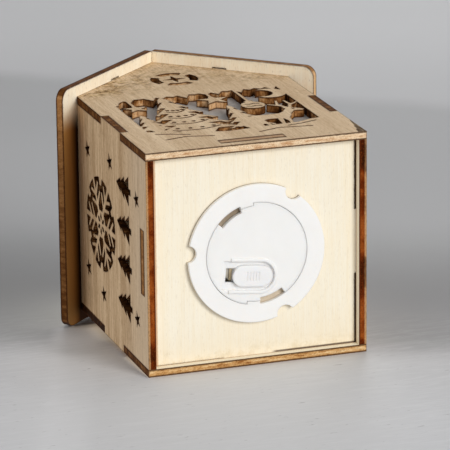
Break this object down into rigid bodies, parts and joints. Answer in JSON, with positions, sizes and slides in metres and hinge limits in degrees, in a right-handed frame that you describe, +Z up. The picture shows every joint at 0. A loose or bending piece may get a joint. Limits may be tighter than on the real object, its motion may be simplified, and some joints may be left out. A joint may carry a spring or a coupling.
{
  "type": "plywood lantern house",
  "caption": "Small laser-cut plywood house lantern with fretwork walls, a pitched roof and a round plastic LED unit with twist cover and slide switch in its floor.",
  "frame": {"origin": "middle of the footprint of the whole part, at the bottom edges of the walls that it stands on", "axes": "+Z up to the roof ridge, -Y out through the fretwork front, +X to the right seen from the front"},
  "size_m": [0.0738, 0.0662, 0.0895],
  "materials": {
    "plywood": "raw, laser-cut edges",
    "pale_plywood": "raw",
    "film": "matt translucent",
    "white_plastic": "satin",
    "clear_plastic": "milky",
    "brass": "rolled strip",
    "steel": "bright",
    "black_plastic": "matt"
  },
  "bodies": {
    "house": {"front_wall": "plywood", "back_wall": "plywood", "left_wall": "plywood", "right_wall": "plywood", "base_panel": "pale_plywood", "roof_panel_left": "plywood", "roof_panel_right": "plywood", "diffuser_sheet": "film", "led_housing": "white_plastic", "contact_positive": "brass", "contact_negative": "steel", "cell_can": "steel", "cell_cap": "steel", "cell_gasket": "black_plastic", "led_bulb": "clear_plastic", "led_leg_anode": "steel", "led_leg_cathode": "steel"},
    "cover": {"battery_cover": "white_plastic"},
    "knob": {"switch_knob": "clear_plastic", "slide_contact": "brass"}
  },
  "joints": [
    {"name": "cover_twist", "type": "hinge", "parent": "house", "child": "cover", "pos_m": [0, 0, 0.0015], "axis": [0, 0, 1], "range_deg": [0, 26]},
    {"name": "switch_slide", "type": "slide", "parent": "cover", "child": "knob", "axis": [-0.9945, -0.1045, 0], "range_m": [0, 0.0026]}
  ]
}
